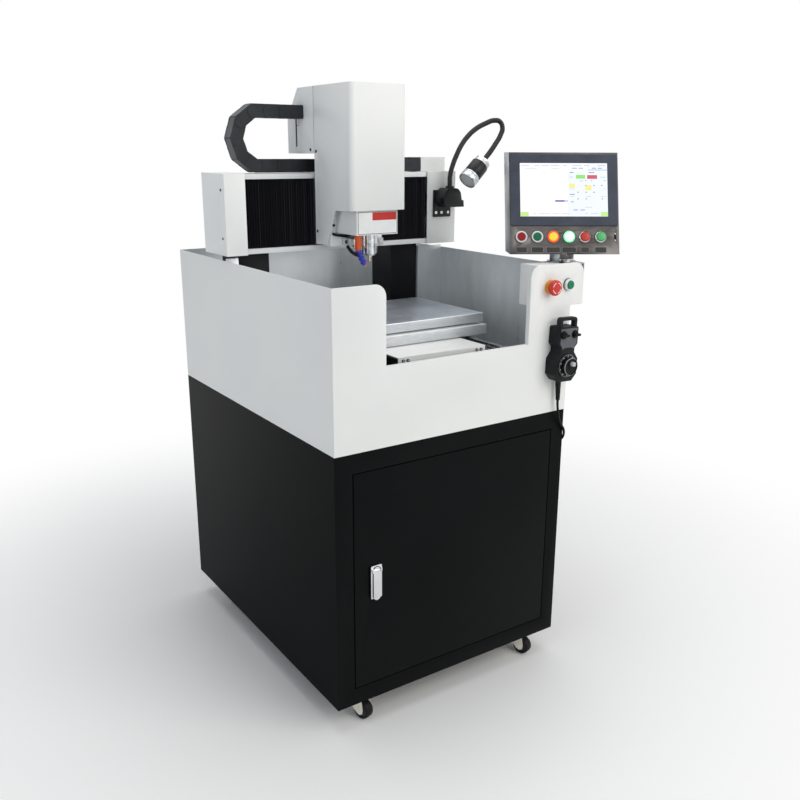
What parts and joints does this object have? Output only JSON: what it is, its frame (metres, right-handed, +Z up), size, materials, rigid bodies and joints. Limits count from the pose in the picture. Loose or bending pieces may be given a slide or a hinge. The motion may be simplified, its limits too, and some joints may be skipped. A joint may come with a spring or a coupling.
{
  "type": "circuit board routing machine",
  "caption": "Small enclosed bridge-type routing machine on a black cabinet with casters, with moving table, pleated way covers, spindle head, operator panel, hand pendant and lamp.",
  "frame": {"origin": "on the floor under the middle of the cabinet", "axes": "+Z up, +X to the right as seen by the operator at the front, +Y towards the back of the machine"},
  "size_m": [0.9231, 0.9697, 1.559],
  "materials": {
    "black_powder": "semi-matt",
    "white_powder": "satin",
    "white_paint": "satin",
    "zinc": "yellowish zinc",
    "tread": "matt",
    "lock_chrome": "satin",
    "drive_grey": "matt",
    "cast_grey": "machined",
    "rail_steel": "ground",
    "table_aluminium": "milled",
    "saddle_aluminium": "milled",
    "black_paint": "satin",
    "pleat_fabric": "coated",
    "chain_plastic": "matt",
    "slide_paint": "satin",
    "spindle_steel": "turned",
    "collet_brass": "satin",
    "hose_plastic": "satin",
    "panel_steel": "brushed",
    "screen_frame": "satin",
    "chrome_ring": "polished",
    "dark_red": "gloss",
    "dark_green": "gloss",
    "orange_lens": "lit",
    "white_lens": "lit",
    "red": "gloss",
    "green": "gloss",
    "collar_orange": "satin",
    "pendant_black": "textured",
    "knob_black": "satin",
    "cable_black": "matt",
    "lamp_black": "satin",
    "lamp_silver": "satin"
  },
  "bodies": {
    "frame": {"cabinet_shell": "black_powder", "caster_plates": "zinc", "drive_units": "drive_grey", "enclosure_shell": "white_powder", "front_panel": "white_powder", "control_box": "white_powder", "machine_base": "cast_grey", "linear_rails": "rail_steel", "ball_screws": "rail_steel", "y_cover": "white_paint", "columns": "black_paint", "x_beam": "white_paint", "end_cap_left": "white_paint", "end_cap_right": "white_paint", "bellows_left": "pleat_fabric", "bellows_right": "pleat_fabric", "cable_chain": "chain_plastic", "junction_box": "white_paint", "hmi_pivot": "chrome_ring", "estop_base": "collar_orange", "start_bezel": "chrome_ring", "pendant_body": "pendant_black", "pendant_cable": "cable_black", "cable_gland": "black_powder", "lamp_base": "lamp_black", "gooseneck": "lamp_black", "lamp_head": "lamp_silver"},
    "door": {"cabinet_door": "black_powder", "lock_plate": "lock_chrome"},
    "lock_lever": {"lock_handle": "lock_chrome"},
    "caster_left": {"fork_fl": "zinc"},
    "caster_right": {"fork_fr": "zinc"},
    "wheel_front_left": {"wheel_fl": "tread"},
    "wheel_front_right": {"wheel_fr": "tread"},
    "wheel_rear_left": {"wheel_rl": "tread"},
    "wheel_rear_right": {"wheel_rr": "tread"},
    "table": {"table_saddle": "saddle_aluminium", "work_table": "table_aluminium"},
    "head": {"x_carriage": "cast_grey", "head_cover": "white_paint", "head_rear_cover": "white_paint"},
    "slide": {"z_slide": "slide_paint", "spindle_cover": "white_paint", "spindle_body": "spindle_steel", "coolant_hose": "hose_plastic"},
    "rotor": {"spindle_nose": "collet_brass"},
    "panel": {"hmi_housing": "panel_steel", "hmi_screen": "screen_frame", "button_bezels": "chrome_ring"},
    "push_1": {"button_1": "dark_red"},
    "push_2": {"button_2": "dark_green"},
    "push_3": {"button_3": "orange_lens"},
    "push_4": {"button_4": "white_lens"},
    "push_5": {"button_5": "red"},
    "push_6": {"button_6": "green"},
    "estop": {"estop_head": "red"},
    "start": {"start_button": "dark_green"},
    "dial": {"handwheel": "knob_black"},
    "selector_axis": {"knob_axis": "knob_black"},
    "selector_rate": {"knob_rate": "knob_black"}
  },
  "joints": [
    {"name": "door_hinge", "type": "hinge", "parent": "frame", "child": "door", "pos_m": [0.304, -0.444, 0.4], "axis": [0, 0, 1], "range_deg": [0, 110]},
    {"name": "lock_lift", "type": "hinge", "parent": "door", "child": "lock_lever", "pos_m": [-0.2465, -0.457, 0.4285], "axis": [-1, 0, 0], "range_deg": [0, 45]},
    {"name": "caster_left_swivel", "type": "hinge", "parent": "frame", "child": "caster_left", "pos_m": [-0.27, -0.386, 0.06], "axis": [0, 0, 1], "continuous": true},
    {"name": "wheel_front_left_roll", "type": "hinge", "parent": "caster_left", "child": "wheel_front_left", "pos_m": [-0.26223, -0.41498, 0.025], "axis": [0.9659, 0.2588, 0], "continuous": true},
    {"name": "caster_right_swivel", "type": "hinge", "parent": "frame", "child": "caster_right", "pos_m": [0.27, -0.386, 0.06], "axis": [0, 0, 1], "continuous": true},
    {"name": "wheel_front_right_roll", "type": "hinge", "parent": "caster_right", "child": "wheel_front_right", "pos_m": [0.27776, -0.41498, 0.025], "axis": [0.9659, 0.2588, 0], "continuous": true},
    {"name": "wheel_rear_left_roll", "type": "hinge", "parent": "frame", "child": "wheel_rear_left", "pos_m": [-0.27, 0.356, 0.025], "axis": [1, 0, 0], "continuous": true},
    {"name": "wheel_rear_right_roll", "type": "hinge", "parent": "frame", "child": "wheel_rear_right", "pos_m": [0.27, 0.356, 0.025], "axis": [1, 0, 0], "continuous": true},
    {"name": "table_y", "type": "slide", "parent": "frame", "child": "table", "axis": [0, 1, 0], "range_m": [-0.15, 0.06]},
    {"name": "head_x", "type": "slide", "parent": "frame", "child": "head", "axis": [1, 0, 0], "range_m": [-0.15, 0.15], "deforming": ["bellows_left", "bellows_right", "cable_chain"]},
    {"name": "slide_z", "type": "slide", "parent": "head", "child": "slide", "axis": [0, 0, 1], "range_m": [-0.11, 0.01]},
    {"name": "spindle_spin", "type": "hinge", "parent": "slide", "child": "rotor", "pos_m": [-0.025, -0.077, 1.113], "axis": [0, 0, 1], "continuous": true},
    {"name": "panel_swivel", "type": "hinge", "parent": "frame", "child": "panel", "pos_m": [0.36, -0.405, 1.131], "axis": [0, 0, 1], "range_deg": [-60, 90]},
    {"name": "button_1_press", "type": "slide", "parent": "panel", "child": "push_1", "axis": [0.501, 0.8018, -0.3256], "range_m": [0, 0.003], "stiffness_N_per_m": 400},
    {"name": "button_2_press", "type": "slide", "parent": "panel", "child": "push_2", "axis": [0.501, 0.8018, -0.3256], "range_m": [0, 0.003], "stiffness_N_per_m": 400},
    {"name": "button_3_press", "type": "slide", "parent": "panel", "child": "push_3", "axis": [0.501, 0.8018, -0.3256], "range_m": [0, 0.003], "stiffness_N_per_m": 400},
    {"name": "button_4_press", "type": "slide", "parent": "panel", "child": "push_4", "axis": [0.501, 0.8018, -0.3256], "range_m": [0, 0.003], "stiffness_N_per_m": 400},
    {"name": "button_5_press", "type": "slide", "parent": "panel", "child": "push_5", "axis": [0.501, 0.8018, -0.3256], "range_m": [0, 0.003], "stiffness_N_per_m": 400},
    {"name": "button_6_press", "type": "slide", "parent": "panel", "child": "push_6", "axis": [0.501, 0.8018, -0.3256], "range_m": [0, 0.003], "stiffness_N_per_m": 400},
    {"name": "estop_press", "type": "slide", "parent": "frame", "child": "estop", "axis": [0, 1, 0], "range_m": [0, 0.0045]},
    {"name": "start_press", "type": "slide", "parent": "frame", "child": "start", "axis": [0, 1, 0], "range_m": [0, 0.003], "stiffness_N_per_m": 400},
    {"name": "handwheel_turn", "type": "hinge", "parent": "frame", "child": "dial", "pos_m": [0.314, -0.495, 0.866], "axis": [0, -1, 0], "continuous": true},
    {"name": "axis_select", "type": "hinge", "parent": "frame", "child": "selector_axis", "pos_m": [0.29734, -0.492, 0.94763], "axis": [0, -1, 0], "range_deg": [-60, 60]},
    {"name": "rate_select", "type": "hinge", "parent": "frame", "child": "selector_rate", "pos_m": [0.33631, -0.492, 0.94627], "axis": [0, -1, 0], "range_deg": [-60, 60]}
  ]
}
